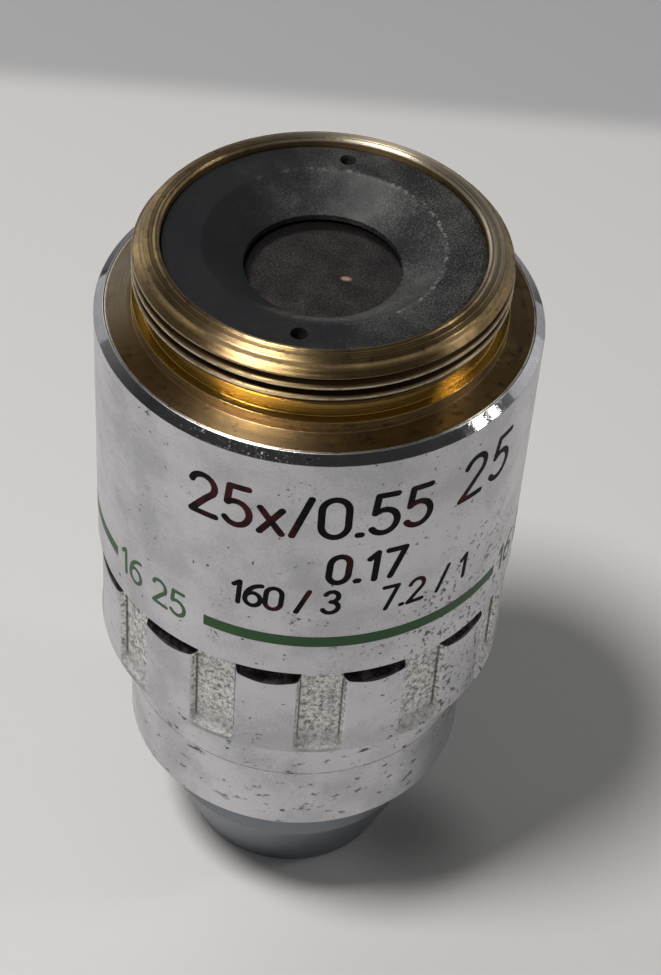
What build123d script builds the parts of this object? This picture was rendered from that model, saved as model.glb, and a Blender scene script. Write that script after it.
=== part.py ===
from build123d import *
from math import sqrt
import os

# Microscope objective, standing on its nose, thread up.
# The origin is the centre of the nose's front face, and +Z runs along the optical axis to the thread.
# A height is a distance above the front face. Millimetres.

# Fits
slide_clearance = 0.02
thread_clearance = 0.02

# Mount thread, and the walls outside the bore that holds the lens cells
thread_radius = 10.16
thread_pitch = 0.706
thread_turns = 3
thread_wall = 1.49
barrel_wall = 1.63
skirt_wall = 0.88
sleeve_wall = 0.98
bore_radius = thread_radius - thread_wall
cell_radius = bore_radius - slide_clearance
barrel_radius = bore_radius + barrel_wall
skirt_radius = barrel_radius + thread_clearance + skirt_wall
body_radius = skirt_radius + thread_clearance + sleeve_wall

# Brass mount
front_to_shoulder = 41.9
mount_rise = 4.45
rim_bevel_in = 0.3
rim_bevel_down = 0.28
collar_proud = 0.02
collar_height = 0.72
neck_depth = 0.46
flange_thickness = 2.0
skirt_length = 13.9
top_height = front_to_shoulder + mount_rise
flange_height = front_to_shoulder - flange_thickness
skirt_bottom_height = flange_height - skirt_length

# Sleeve
sleeve_length = 23.66
sleeve_top_chamfer_in = 0.55
sleeve_top_chamfer_down = 0.33
sleeve_step_gap = 0.2
grip_length = 7.16
grip_edge_chamfer = 0.12
land_count = 12
land_setback = 0.15
land_top_drop = 1.0
relief_depth = 0.75
groove_depth = 0.5
groove_floor_width = 2.3
groove_flank_width = 0.375
groove_rim = 0.51
seat_radius = body_radius - sleeve_top_chamfer_in
land_radius = body_radius - land_setback
groove_floor_radius = land_radius - groove_depth
relief_radius = body_radius - relief_depth
grip_bottom_height = front_to_shoulder - sleeve_length
grip_top_height = grip_bottom_height + grip_length
land_top_height = grip_top_height - land_top_drop
groove_bottom_height = grip_bottom_height + groove_rim

# Band of colour round the sleeve
band_rise = 2.32
band_width = 0.8
band_depth = 0.1
band_count = 3
band_gap_angle = 33.0
band_start_angle = -17.8
band_bottom_height = grip_top_height + band_rise
band_top_height = band_bottom_height + band_width

# Nose
nose_length = 9.2
nose_flange = 0.5
nose_seat_width = 0.77
nose_cone_height = 5.6
nose_cone_in = 2.1
nose_front_chamfer = 0.2
nose_thread_length = 3.8
nose_thread_end_gap = 0.2
nose_tube_wall = 1.28
nose_thread_radius = bore_radius - nose_seat_width
nose_radius = nose_thread_radius + nose_flange
nose_front_radius = nose_radius - nose_cone_in

# Lower barrel
barrel_line_drop = 3.94
barrel_band_proud = 0.2
barrel_edge_chamfer = 0.15
barrel_seat_height = nose_length + nose_thread_length + nose_thread_end_gap
barrel_line_height = grip_bottom_height - barrel_line_drop

# Meniscus cell, and the front lens and its ring below it
meniscus_cell_length = 4.4
meniscus_cell_wall = 1.58
meniscus_lip = 0.6
meniscus_lip_width = 0.5
meniscus_edge = 1.6
meniscus_front_depth = 1.09
meniscus_rear_depth = 1.91
front_ring_seat_width = 1.98
front_ring_thickness = 1.0
front_ring_depth = 2.1
front_ring_width = 1.35
front_lens_height = 1.3
front_lens_edge = 1.6
front_lens_land = 0.4
front_lens_dome = 1.48
front_lens_wall = 0.98
front_lens_seat_width = 0.6
nose_mouth_flare = 1.4
meniscus_cell_radius = nose_thread_radius - nose_tube_wall - thread_clearance
meniscus_radius = meniscus_cell_radius - meniscus_cell_wall - slide_clearance
front_ring_radius = meniscus_cell_radius - front_ring_seat_width - thread_clearance
front_lens_radius = front_ring_radius - front_lens_wall - slide_clearance
front_lens_opening_radius = front_lens_radius - front_lens_seat_width
front_ring_height = front_lens_height + front_lens_edge
meniscus_cell_height = front_ring_height + front_ring_depth

# Cemented doublets: depth of each surface at the lens's edge, from the front one to the rear one,
# then the crown's thickness at its edge, the flint's on the axis, and the cell's rim above the flint
doublet_cell_wall = 2.03
doublet_lip = 0.8
doublet_lip_width = 0.6
front_doublet_depths = (1.43, 2.2, 0.65)
front_crown_edge = 0.57
front_flint_middle = 1.4
front_cell_rim = 0.97
middle_doublet_depths = (1.01, 1.8, 0.36)
middle_crown_edge = 0.79
middle_flint_middle = 1.5
middle_cell_rim = 0.53
middle_cell_play = 0.3
rear_doublet_depths = (0.85, 1.53, 0.46)
rear_crown_edge = 1.02
rear_flint_middle = 1.6
rear_cell_rim = 0.3
doublet_radius = cell_radius - doublet_cell_wall - slide_clearance
doublet_lip_radius = doublet_radius - doublet_lip_width
middle_cell_radius = cell_radius - middle_cell_play

# Spacers and the stop between the cells
spacer_wall = 1.45
front_spacer_length = 1.4
middle_spacer_length = 1.8
stop_thickness = 0.4
stop_width = 4.5
spacer_bore_radius = cell_radius - spacer_wall
stop_radius = cell_radius - stop_width

# Centring screws, radial, in the barrel's wall
screw_count = 3
screw_radius = 0.7
screw_recess = 0.1
screw_slot_width = 0.25
screw_slot_depth = 0.4

# Black retaining ring
ring_recess = 0.35
ring_thickness = 1.8
ring_flat_width = 2.15
funnel_width = 2.25
funnel_depth = 1.3
spanner_hole_radius = 0.45
spanner_hole_depth = 1.0
spanner_hole_inset = 1.25
funnel_mouth_radius = cell_radius - ring_flat_width
aperture_radius = funnel_mouth_radius - funnel_width
ring_top_height = top_height - ring_recess
ring_bottom_height = ring_top_height - ring_thickness

# Rear lens and its cell
rear_lens_recess = 0.2
rear_lens_thickness = 2.4
rear_lens_depth = 0.34
rear_lens_wall = 3.43
rear_lens_lip = 0.8
rear_lens_lip_width = 0.6
rear_lens_cell_skirt = 0.77
rear_lens_radius = cell_radius - rear_lens_wall - slide_clearance
rear_lens_lip_radius = rear_lens_radius - rear_lens_lip_width

# One overrun serves every cut
overrun = 1.0

os.makedirs("parts", exist_ok=True)


def turned(outline):
    """Solid of revolution about Z from (radius, height) corners."""
    corners = [(radius, 0, height) for radius, height in outline]
    return revolve(make_face(Polyline(*corners, close=True)), Axis.Z)


def ring(inner, outer, low, high):
    return turned([(inner, low), (outer, low), (outer, high), (inner, high)])


def turned_arc(inner, outer, low, high, angle):
    """Part of a ring, from the front round towards +X."""
    corners = [(0, -inner, low), (0, -outer, low), (0, -outer, high), (0, -inner, high)]
    return revolve(make_face(Polyline(*corners, close=True)), Axis.Z, revolution_arc=angle)


def depth_at(radius, edge_radius, edge_depth):
    """Depth of a spherical surface at a radius, from its depth at the lens's edge."""
    curve = (edge_radius * edge_radius + edge_depth * edge_depth) / (2 * edge_depth)
    return curve - sqrt(curve * curve - radius * radius)


def surface(radius, vertex, depth):
    """Spherical surface from the axis to the lens's edge. It bulges downwards where its depth is positive."""
    side = 1 if depth > 0 else -1
    middle = vertex + side * depth_at(radius / 2, radius, abs(depth))
    return ThreePointArc((0, 0, vertex), (radius / 2, 0, middle), (radius, 0, vertex + depth))


def lens(radius, low_vertex, low_depth, high_vertex, high_depth):
    """Glass between two spherical surfaces, each given by its height on the axis and its edge depth."""
    low = surface(radius, low_vertex, low_depth)
    high = surface(radius, high_vertex, high_depth)
    outline = [low, Line(low @ 1, high @ 1), high, Line(high @ 0, low @ 0)]
    return revolve(make_face(outline), Axis.Z)


def around(count, start=0.0):
    """Angles evenly spaced round the axis, from the front, towards +X."""
    return [start + number * 360 / count for number in range(count)]


def thread_mount():
    bevel_radius = thread_radius - rim_bevel_in
    neck_radius = thread_radius - neck_depth
    collar_radius = thread_radius + collar_proud
    shoulder_radius = seat_radius - slide_clearance
    neck_low = front_to_shoulder + collar_height
    neck_high = top_height - rim_bevel_down - thread_turns * thread_pitch
    return turned([
        (bore_radius, top_height),
        (bevel_radius, top_height),
        (thread_radius, top_height - rim_bevel_down),
        (thread_radius, neck_high),
        (neck_radius, neck_high - neck_depth),
        (neck_radius, neck_low),
        (collar_radius, neck_low),
        (collar_radius, front_to_shoulder),
        (shoulder_radius, front_to_shoulder),
        (shoulder_radius, flange_height),
        (skirt_radius, flange_height),
        (skirt_radius, skirt_bottom_height),
        (barrel_radius + thread_clearance, skirt_bottom_height),
        (barrel_radius + thread_clearance, barrel_top),
        (bore_radius, barrel_top),
    ])


def groove_cutter():
    """One milled groove at the front: bevelled sides, and a ramp at its lower end."""
    floor_half = groove_floor_width / 2
    slope = groove_flank_width / groove_depth
    reach = groove_depth + overrun
    reach_half = floor_half + slope * reach
    floor = -groove_floor_radius
    far = floor - reach
    section = Polyline((-floor_half, floor), (floor_half, floor), (reach_half, far), (-reach_half, far),
                       close=True)
    sides = extrude(Plane.XY.offset(grip_bottom_height) * make_face(section),
                    amount=grip_top_height - grip_bottom_height)
    ramp_foot = groove_bottom_height + groove_depth
    ramp = Polyline((0, floor, grip_top_height), (0, far, grip_top_height), (0, far, ramp_foot - reach),
                    (0, floor, ramp_foot), close=True)
    ramped = extrude(make_face(ramp), amount=reach_half, both=True)
    return sides & ramped


def outer_sleeve():
    inner = barrel_radius + slide_clearance
    skirt_bore = skirt_radius + thread_clearance
    relief_low = land_top_height + land_radius - relief_radius
    step_height = skirt_bottom_height - sleeve_step_gap
    sleeve = turned([
        (seat_radius, front_to_shoulder),
        (body_radius, front_to_shoulder - sleeve_top_chamfer_down),
        (body_radius, grip_top_height),
        (relief_radius, grip_top_height),
        (relief_radius, relief_low),
        (land_radius, land_top_height),
        (land_radius, grip_bottom_height + grip_edge_chamfer),
        (land_radius - grip_edge_chamfer, grip_bottom_height),
        (inner, grip_bottom_height),
        (inner, step_height),
        (skirt_bore, step_height),
        (skirt_bore, flange_height),
        (seat_radius, flange_height),
    ])
    half_pitch = 360 / land_count / 2
    cutter = groove_cutter()
    for angle in around(land_count, half_pitch):
        sleeve -= Rot(0, 0, angle) * cutter
    band = turned_arc(body_radius - band_depth, body_radius + overrun, band_bottom_height, band_top_height,
                      360 / band_count - band_gap_angle)
    for angle in around(band_count, band_start_angle):
        sleeve -= Rot(0, 0, angle) * band
    return sleeve


def lower_barrel():
    band_radius = barrel_radius + barrel_band_proud
    barrel = turned([
        (nose_thread_radius + thread_clearance, nose_length),
        (barrel_radius - barrel_edge_chamfer, nose_length),
        (barrel_radius, nose_length + barrel_edge_chamfer),
        (barrel_radius, barrel_line_height),
        (band_radius, barrel_line_height),
        (barrel_radius, grip_bottom_height - barrel_band_proud),
        (barrel_radius, barrel_top),
        (bore_radius, barrel_top),
        (bore_radius, barrel_seat_height),
        (nose_thread_radius + thread_clearance, barrel_seat_height),
    ])
    tapped = Plane.YZ * Cylinder(screw_radius + thread_clearance, barrel_radius + overrun,
                                 align=(Align.CENTER, Align.CENTER, Align.MIN))
    for angle in around(screw_count):
        barrel -= Pos(0, 0, screw_height) * Rot(0, 0, angle) * tapped
    return barrel


def centring_screws():
    """Slotted grub screws, just under the barrel's skin, that press on the middle doublet's cell."""
    head = barrel_radius - screw_recess
    length = head - middle_cell_radius
    screw = Plane.YZ * Cylinder(screw_radius, length, align=(Align.CENTER, Align.CENTER, Align.MIN))
    slot = Box(screw_slot_depth + overrun, screw_slot_width, 2 * (screw_radius + overrun),
               align=(Align.MAX, Align.CENTER, Align.CENTER))
    screw = Pos(middle_cell_radius, 0, 0) * screw - Pos(head + overrun, 0, 0) * slot
    return [Pos(0, 0, screw_height) * Rot(0, 0, angle) * screw for angle in around(screw_count)]


def nose_cell():
    lens_bore = front_lens_radius + slide_clearance
    ring_bore = front_ring_radius + thread_clearance
    cell_bore = meniscus_cell_radius + thread_clearance
    tube_top = nose_length + nose_thread_length
    cone_slope = nose_cone_in / nose_cone_height
    return turned([
        (front_lens_opening_radius + nose_mouth_flare, 0),
        (nose_front_radius - nose_front_chamfer, 0),
        (nose_front_radius + cone_slope * nose_front_chamfer, nose_front_chamfer),
        (nose_radius, nose_cone_height),
        (nose_radius, nose_length),
        (nose_thread_radius, nose_length),
        (nose_thread_radius, tube_top),
        (cell_bore, tube_top),
        (cell_bore, meniscus_cell_height),
        (ring_bore, meniscus_cell_height),
        (ring_bore, front_ring_height),
        (lens_bore, front_ring_height),
        (lens_bore, front_lens_height),
        (front_lens_opening_radius, front_lens_height),
    ])


def front_lens():
    """Plano-convex lens: flat front, a flat land round its rear edge, and a steep dome."""
    dome = surface(front_lens_radius - front_lens_land, front_ring_height + front_lens_dome, -front_lens_dome)
    sides = Polyline(dome @ 0, (0, 0, front_lens_height), (front_lens_radius, 0, front_lens_height),
                     (front_lens_radius, 0, front_ring_height), dome @ 1)
    return revolve(make_face([dome, sides]), Axis.Z)


def front_lens_ring():
    return ring(front_ring_radius - front_ring_width, front_ring_radius, front_ring_height,
                front_ring_height + front_ring_thickness)


def meniscus_lens():
    low = meniscus_cell_height + meniscus_lip
    high = low + meniscus_edge
    return lens(meniscus_radius, low + meniscus_front_depth, -meniscus_front_depth,
                high + meniscus_rear_depth, -meniscus_rear_depth)


def lipped_cell(low, high, radius, lens_radius, lip, lip_width):
    """Cell whose lens rests on a lip at its lower end."""
    lens_bore = lens_radius + slide_clearance
    lip_radius = lens_radius - lip_width
    return turned([
        (lip_radius, low),
        (radius, low),
        (radius, high),
        (lens_bore, high),
        (lens_bore, low + lip),
        (lip_radius, low + lip),
    ])


def meniscus_cell():
    low = meniscus_cell_height
    return lipped_cell(low, low + meniscus_cell_length, meniscus_cell_radius, meniscus_radius, meniscus_lip,
                       meniscus_lip_width)


def doublet_heights(cell_low, depths, crown_edge, flint_middle):
    """Where the three surfaces cross the axis. The crown rests on the inner edge of its cell's lip."""
    first, cemented, last = depths
    low = cell_low + doublet_lip - depth_at(doublet_lip_radius, doublet_radius, first)
    joint = low + first + crown_edge + cemented
    return low, joint, joint + flint_middle


def doublet(cell_low, depths, crown_edge, flint_middle):
    """Cemented pair of lenses."""
    low, joint, high = doublet_heights(cell_low, depths, crown_edge, flint_middle)
    first, cemented, last = depths
    crown = lens(doublet_radius, low, first, joint, -cemented)
    flint = lens(doublet_radius, joint, -cemented, high, -last)
    return crown, flint


def doublet_cell(low, high, radius):
    return lipped_cell(low, high, radius, doublet_radius, doublet_lip, doublet_lip_width)


def rear_lens():
    """Convex below, flat on top, just under the ring."""
    high = ring_bottom_height - rear_lens_recess
    low = surface(rear_lens_radius, high - rear_lens_thickness, rear_lens_depth)
    sides = Polyline(low @ 1, (rear_lens_radius, 0, high), (0, 0, high), low @ 0)
    return revolve(make_face([low, sides]), Axis.Z)


def rear_lens_cell():
    lens_bore = rear_lens_radius + slide_clearance
    return turned([
        (rear_lens_lip_radius, rear_lip_top - rear_lens_lip),
        (spacer_bore_radius, rear_lip_top - rear_lens_lip),
        (spacer_bore_radius, rear_cell_height),
        (cell_radius, rear_cell_height),
        (cell_radius, ring_bottom_height),
        (lens_bore, ring_bottom_height),
        (lens_bore, rear_lip_top),
        (rear_lens_lip_radius, rear_lip_top),
    ])


def aperture_stop():
    return ring(stop_radius, cell_radius, stop_height, barrel_top)


def rear_retaining_ring():
    funnel_foot = ring_top_height - funnel_depth
    hole_circle_radius = cell_radius - spanner_hole_inset
    retainer = turned([
        (aperture_radius, ring_bottom_height),
        (cell_radius, ring_bottom_height),
        (cell_radius, ring_top_height),
        (funnel_mouth_radius, ring_top_height),
        (aperture_radius, funnel_foot),
    ])
    hole = Cylinder(spanner_hole_radius, spanner_hole_depth, align=(Align.CENTER, Align.CENTER, Align.MAX))
    for angle in around(2):
        retainer -= Rot(0, 0, angle) * Pos(0, -hole_circle_radius, ring_top_height) * hole
    return retainer


def save(node, shape):
    solids = shape if isinstance(shape, list) else [shape]
    export_step(Compound(children=solids) if len(solids) > 1 else solids[0], f"parts/{node}.step")


# Stack in the barrel, from its seat up to the thread mount's inner shoulder
front_pair = (barrel_seat_height, front_doublet_depths, front_crown_edge, front_flint_middle)
front_cell_top = doublet_heights(*front_pair)[2] + front_cell_rim
middle_cell_height = front_cell_top + front_spacer_length
middle_pair = (middle_cell_height, middle_doublet_depths, middle_crown_edge, middle_flint_middle)
middle_cell_top = doublet_heights(*middle_pair)[2] + middle_cell_rim
rear_pair_height = middle_cell_top + middle_spacer_length
rear_pair = (rear_pair_height, rear_doublet_depths, rear_crown_edge, rear_flint_middle)
stop_height = doublet_heights(*rear_pair)[2] + rear_cell_rim
barrel_top = stop_height + stop_thickness
screw_height = (middle_cell_height + middle_cell_top) / 2
rear_lip_top = (ring_bottom_height - rear_lens_recess - rear_lens_thickness
                + depth_at(rear_lens_lip_radius, rear_lens_radius, rear_lens_depth))
rear_cell_height = rear_lip_top - rear_lens_lip - rear_lens_cell_skirt
front_crown, front_flint = doublet(*front_pair)
middle_crown, middle_flint = doublet(*middle_pair)
rear_crown, rear_flint = doublet(*rear_pair)

save("thread_mount", thread_mount())
save("outer_sleeve", outer_sleeve())
save("lower_barrel", lower_barrel())
save("nose_cell", nose_cell())
save("front_lens", front_lens())
save("front_lens_ring", front_lens_ring())
save("meniscus_cell", meniscus_cell())
save("meniscus_lens", meniscus_lens())
save("front_doublet_cell", doublet_cell(barrel_seat_height, front_cell_top, cell_radius))
save("front_doublet_crown", front_crown)
save("front_doublet_flint", front_flint)
save("front_spacer", ring(spacer_bore_radius, cell_radius, front_cell_top, middle_cell_height))
save("middle_doublet_cell", doublet_cell(middle_cell_height, middle_cell_top, middle_cell_radius))
save("middle_doublet_crown", middle_crown)
save("middle_doublet_flint", middle_flint)
save("middle_spacer", ring(spacer_bore_radius, cell_radius, middle_cell_top, rear_pair_height))
save("rear_doublet_cell", doublet_cell(rear_pair_height, stop_height, cell_radius))
save("rear_doublet_crown", rear_crown)
save("rear_doublet_flint", rear_flint)
save("aperture_stop", aperture_stop())
save("rear_spacer", ring(spacer_bore_radius, cell_radius, barrel_top, rear_cell_height))
save("rear_lens_cell", rear_lens_cell())
save("rear_lens", rear_lens())
save("rear_retaining_ring", rear_retaining_ring())
save("centring_screws", centring_screws())
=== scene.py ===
import math

import bpy
import numpy as np
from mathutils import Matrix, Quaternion, Vector


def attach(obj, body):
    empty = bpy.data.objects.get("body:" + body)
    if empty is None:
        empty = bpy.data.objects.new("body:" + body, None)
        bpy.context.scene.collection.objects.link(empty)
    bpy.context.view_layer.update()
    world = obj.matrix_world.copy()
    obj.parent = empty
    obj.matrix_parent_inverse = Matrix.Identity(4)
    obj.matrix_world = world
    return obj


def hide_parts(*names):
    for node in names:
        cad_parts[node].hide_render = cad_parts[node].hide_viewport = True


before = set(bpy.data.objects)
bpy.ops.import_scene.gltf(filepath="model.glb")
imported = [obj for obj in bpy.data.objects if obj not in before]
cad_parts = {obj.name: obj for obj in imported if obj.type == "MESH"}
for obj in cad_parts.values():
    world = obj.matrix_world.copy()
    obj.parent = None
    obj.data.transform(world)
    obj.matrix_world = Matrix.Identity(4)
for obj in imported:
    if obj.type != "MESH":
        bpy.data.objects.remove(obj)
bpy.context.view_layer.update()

# A microscope objective, standing on its nose with its mount thread up. Sizes are in millimetres, and MM
# turns them into metres. An azimuth is in degrees, measured from -Y towards +X, as in the CAD.
MM = 0.001


# Camera
# A telephone held over the table, looking down on the objective at about 45 degrees, turned a little
# clockwise.
camera_place = Vector((12.54, -94.20, 122.60)) * MM
camera_direction = Vector((-0.08389, 0.70350, -0.70573))
camera_roll = math.radians(4.43)
camera_lens = 85.24
camera_clip_start = 0.01

camera_data = bpy.data.cameras.new("camera")
camera_data.lens = camera_lens
camera_data.clip_start = camera_clip_start
camera = bpy.data.objects.new("camera", camera_data)
camera.location = camera_place
camera.rotation_mode = "QUATERNION"
camera.rotation_quaternion = camera_direction.to_track_quat("-Z", "Y") @ Quaternion((0, 0, 1), camera_roll)
bpy.context.scene.collection.objects.link(camera)
bpy.context.scene.camera = camera
bpy.context.scene.view_settings.view_transform = "Standard"


# Table
# A smooth pale board with a darker table beyond its far edge. Shade is painted on it: it is a little darker
# to the right of the objective, away from the window, and a painted contact shadow is darkest where the nose
# stands on it.
table_half = 900.0
table_drop = 0.02
board_edge_distance = 77.4
board_edge_azimuth = 186.4
board_edge_blur = 2.6
board_shade_side = (0.6, -0.8, 0.0)
foot_shade_stretch = (1.0, 1.25, 1.0)
foot_shade_centre = (8.0, -2.9, 0.0)
foot_shade_reach = 7.0
foot_shade_core = 0.5
board_colour = (0.62, 0.61, 0.60, 1.0)
board_shade_colour = (0.555, 0.545, 0.535, 1.0)
foot_shade_colour = (0.08, 0.08, 0.08, 1.0)
beyond_colour = (0.405, 0.405, 0.42, 1.0)


class Field:
    """A value or a colour that varies over a surface. Arithmetic on a value adds the Math nodes."""

    def __init__(self, nodes, socket):
        self.nodes = nodes
        self.socket = socket

    def math(self, operation, first, second):
        return self.nodes.node("ShaderNodeMath", {"operation": operation}, {0: first, 1: second})

    def __add__(self, other):
        return self.math("ADD", self, other)

    def __radd__(self, other):
        return self.math("ADD", other, self)

    def __sub__(self, other):
        return self.math("SUBTRACT", self, other)

    def __rsub__(self, other):
        return self.math("SUBTRACT", other, self)

    def __mul__(self, other):
        return self.math("MULTIPLY", self, other)

    def __rmul__(self, other):
        return self.math("MULTIPLY", other, self)

    def within(self, low, high):
        """0 up to low, 1 from high, and smooth between. With low above high it goes the other way."""
        sockets = {"Value": self, "From Min": low, "From Max": high}
        return self.nodes.node("ShaderNodeMapRange", {"interpolation_type": "SMOOTHSTEP"}, sockets)

    def between(self, foot, low, high, top):
        """1 from low to high, 0 below foot and above top."""
        return self.within(foot, low) * self.within(top, high)

    def mix(self, first, second):
        """Colour that goes from the first to the second as the value goes from 0 to 1."""
        sockets = {0: self, 6: first, 7: second}
        return self.nodes.node("ShaderNodeMix", {"data_type": "RGBA"}, sockets, 2)

    def bump(self, distance):
        """Normal of a relief in which a value of 1 stands for the distance, in millimetres."""
        sockets = {"Height": self, "Distance": distance * MM, "Strength": 1.0}
        return self.nodes.node("ShaderNodeBump", {}, sockets)


class Place(Field):
    """A place on the object, in millimetres."""

    def vector(self, operation, other, output):
        return self.nodes.node("ShaderNodeVectorMath", {"operation": operation}, {0: self, 1: other}, output)

    def along(self, axis):
        return self.nodes.node("ShaderNodeSeparateXYZ", {}, {0: self}, axis)

    def height(self):
        return self.along("Z")

    def radius(self):
        """Distance from the axis."""
        return self.nodes.node("ShaderNodeVectorMath", {"operation": "LENGTH"},
                               {0: self.vector("MULTIPLY", (1.0, 1.0, 0.0), "Vector")}, "Value")

    def towards(self, side):
        """How far out the place lies towards a side."""
        return self.vector("DOT_PRODUCT", side, "Value")

    def away(self, centre):
        """Distance from a centre."""
        return self.vector("DISTANCE", centre, "Value")

    def lobes(self, count):
        """1 in the middle of each of so many lobes round the axis, and -1 midway between them."""
        turn = self.math("ARCTAN2", self.along("X"), self.along("Y"))
        return self.nodes.node("ShaderNodeMath", {"operation": "COSINE"}, {0: turn * count})

    def noise(self, scale, detail=2.0, roughness=0.5, distortion=0.0):
        sockets = {"Vector": self, "Scale": scale, "Detail": detail, "Roughness": roughness,
                   "Distortion": distortion}
        return self.nodes.node("ShaderNodeTexNoise", {}, sockets)

    def rings(self, scale, detail):
        """Turning marks: a noise that changes only with the height and the distance from the axis."""
        turned = self.nodes.node("ShaderNodeCombineXYZ", {}, {"X": self.radius(), "Y": self.height()})
        return Place(self.nodes, turned.socket).noise(scale, detail, roughness=0.75)


class Nodes:
    """The nodes of one finish, or of the room."""

    def __init__(self, tree):
        self.tree = tree

    def node(self, kind, settings, sockets, output=0):
        made = self.tree.nodes.new(kind)
        for setting, value in settings.items():
            setattr(made, setting, value)
        for socket, value in sockets.items():
            self.feed(made.inputs[socket], value)
        return Field(self, made.outputs[output])

    def feed(self, socket, value):
        if isinstance(value, Field):
            self.tree.links.new(value.socket, socket)
        else:
            socket.default_value = value


class Finish(Nodes):
    """The finish of one kind of surface: a Principled shader and the nodes that vary it."""

    def __init__(self, name, **constants):
        self.material = bpy.data.materials.new(name)
        self.material.use_nodes = True
        super().__init__(self.material.node_tree)
        self.shader = self.tree.nodes["Principled BSDF"]
        self.vary(**constants)

    def vary(self, **values):
        for socket, value in values.items():
            self.feed(self.shader.inputs[socket.replace("_", " ")], value)

    def place(self, stretch=(1.0, 1.0, 1.0)):
        """Place on the object, stretched along the axes."""
        spot = Place(self, self.node("ShaderNodeTexCoord", {}, {}, "Object").socket)
        return Place(self, spot.vector("MULTIPLY", tuple(share / MM for share in stretch), "Vector").socket)


board_finish = Finish("pale_board", Roughness=0.55)
board_place = board_finish.place()
edge_angle = math.radians(board_edge_azimuth)
edge_normal = (math.sin(edge_angle), -math.cos(edge_angle), 0.0)
board_beyond = board_place.towards(edge_normal).within(board_edge_distance - board_edge_blur,
                                                       board_edge_distance + board_edge_blur)
# Painted shade: the board darkens towards the right, where the objective's shadow falls
board_shaded = board_place.towards(board_shade_side).within(5.0, 18.0)
# Painted contact shadow round the nose's foot
foot_shade_away = board_finish.place(foot_shade_stretch).away(foot_shade_centre)
board_foot_shade = foot_shade_away.within(foot_shade_reach, foot_shade_core)
board_tone = board_shaded.mix(board_colour, board_shade_colour)
board_tone = (board_foot_shade * 0.62).mix(board_tone, foot_shade_colour)
board_finish.vary(Base_Color=board_beyond.mix(board_tone, beyond_colour))

table_corner = table_half * MM
table_mesh = bpy.data.meshes.new("table")
table_mesh.from_pydata([(-table_corner, -table_corner, 0), (table_corner, -table_corner, 0),
                        (table_corner, table_corner, 0), (-table_corner, table_corner, 0)],
                       [], [(0, 1, 2, 3)])
table_mesh.materials.append(board_finish.material)
table = bpy.data.objects.new("table", table_mesh)
table.location.z = -table_drop * MM
bpy.context.scene.collection.objects.link(table)


# Window light
# A soft window high up to the left, the two panes of a smaller one to the right, and two pale walls behind.
# The room round them is pale at its walls and dark at its ceiling, which the polished chamfers show.
lamps = [
    {"name": "window_lamp", "azimuth": -55.0, "elevation": 70.0, "away": 420.0, "size": 92.0,
     "power": 1.5, "colour": (1.0, 0.988, 0.972)},
    {"name": "side_window_near", "azimuth": 96.5, "elevation": 40.0, "away": 380.0, "size": 28.0,
     "power": 0.075, "colour": (1.0, 0.99, 0.96)},
    {"name": "side_window_far", "azimuth": 105.0, "elevation": 38.0, "away": 380.0, "size": 18.0,
     "power": 0.03, "colour": (1.0, 0.98, 0.92)},
    {"name": "left_wall", "azimuth": -134.0, "elevation": 22.0, "away": 700.0, "size": 520.0,
     "power": 0.42, "colour": (0.98, 0.99, 1.0)},
    {"name": "right_wall", "azimuth": 132.0, "elevation": 25.0, "away": 700.0, "size": 400.0,
     "power": 0.12, "colour": (0.98, 0.99, 1.0)},
]
room_colour = (0.98, 0.99, 1.0, 1.0)
wall_radiance = 0.45
ceiling_radiance = 0.045
wall_top_elevation = 14.0
ceiling_elevation = 38.0


def direction(azimuth, elevation):
    """Unit vector from the objective out into the room."""
    turn = math.radians(azimuth)
    rise = math.radians(elevation)
    return Vector((math.sin(turn) * math.cos(rise), -math.cos(turn) * math.cos(rise), math.sin(rise)))


for lamp in lamps:
    lamp_data = bpy.data.lights.new(lamp["name"], "AREA")
    lamp_data.shape = "DISK"
    lamp_data.size = lamp["size"] * MM
    lamp_data.energy = lamp["power"]
    lamp_data.color = lamp["colour"]
    lamp_object = bpy.data.objects.new(lamp["name"], lamp_data)
    outward = direction(lamp["azimuth"], lamp["elevation"])
    lamp_object.location = outward * lamp["away"] * MM
    lamp_object.rotation_mode = "QUATERNION"
    lamp_object.rotation_quaternion = outward.to_track_quat("Z", "Y")
    bpy.context.scene.collection.objects.link(lamp_object)

room = bpy.data.worlds.new("room")
room.use_nodes = True
room_shader = room.node_tree.nodes["Background"]
room_shader.inputs["Color"].default_value = room_colour
room_nodes = Nodes(room.node_tree)
room_place = room_nodes.node("ShaderNodeTexCoord", {}, {}, "Generated")
room_height = room_nodes.node("ShaderNodeSeparateXYZ", {}, {0: room_place}, "Z")
room_fall = room_nodes.node("ShaderNodeMapRange", {"interpolation_type": "SMOOTHSTEP"},
                            {"Value": room_height,
                             "From Min": math.sin(math.radians(wall_top_elevation)),
                             "From Max": math.sin(math.radians(ceiling_elevation)),
                             "To Min": wall_radiance,
                             "To Max": ceiling_radiance})
room_nodes.feed(room_shader.inputs["Strength"], room_fall)
bpy.context.scene.world = room


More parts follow.
